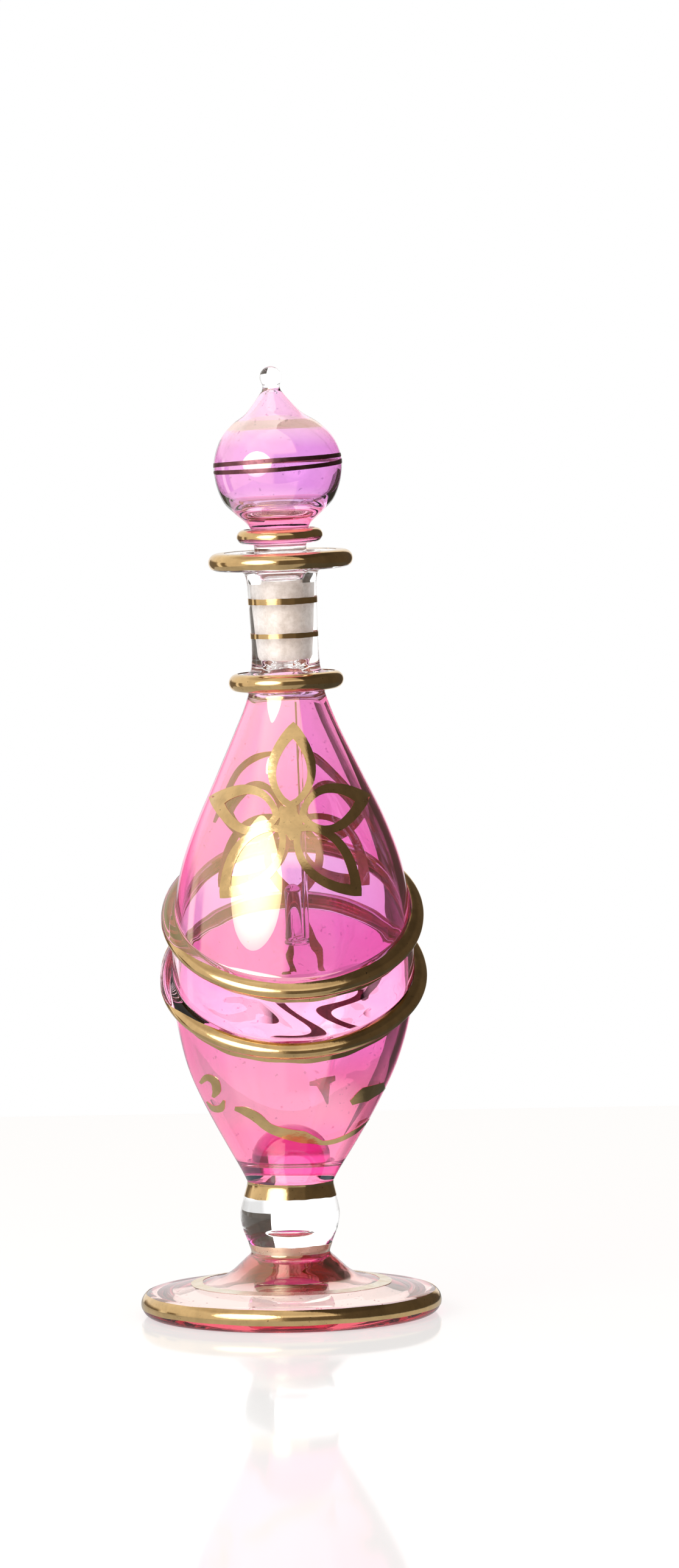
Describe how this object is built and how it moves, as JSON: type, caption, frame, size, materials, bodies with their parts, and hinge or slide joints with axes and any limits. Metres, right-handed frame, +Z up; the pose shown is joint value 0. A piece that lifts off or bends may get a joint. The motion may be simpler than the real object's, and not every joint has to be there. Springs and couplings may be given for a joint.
{
  "type": "glass perfume bottle",
  "caption": "Footed glass perfume bottle with slanting glass rings and a lift-out ground stopper that carries a dauber rod.",
  "frame": {"origin": "on the surface that the bottle stands on, under the middle of its foot", "axes": "+Z up the bottle, -Y towards the front, where the slanting rings are low"},
  "size_m": [0.051, 0.051, 0.1604],
  "materials": {
    "pink_glass": "clear glass with a thin pink lustre and gilt ornament",
    "violet_glass": "clear glass with a thin violet lustre",
    "clear_glass": "fire-polished clear glass",
    "ground_glass": "ground, frosted",
    "gilt_glass": "glass under fired bright gold"
  },
  "bodies": {
    "bottle": {"foot": "pink_glass", "stem_knop": "clear_glass", "vessel": "pink_glass", "lower_slant_ring": "gilt_glass", "upper_slant_ring": "gilt_glass", "neck_collar": "gilt_glass", "neck": "clear_glass", "lip_ring": "gilt_glass"},
    "stopper": {"ground_plug": "ground_glass", "dauber_rod": "clear_glass", "dauber_tip": "clear_glass", "stopper_ring": "gilt_glass", "stopper_bulb": "violet_glass", "finial_drop": "clear_glass"}
  },
  "joints": [
    {"name": "stopper_lift", "type": "slide", "parent": "bottle", "child": "stopper", "axis": [-0.024, 0, 0.9997], "range_m": [0, 0.072]}
  ]
}
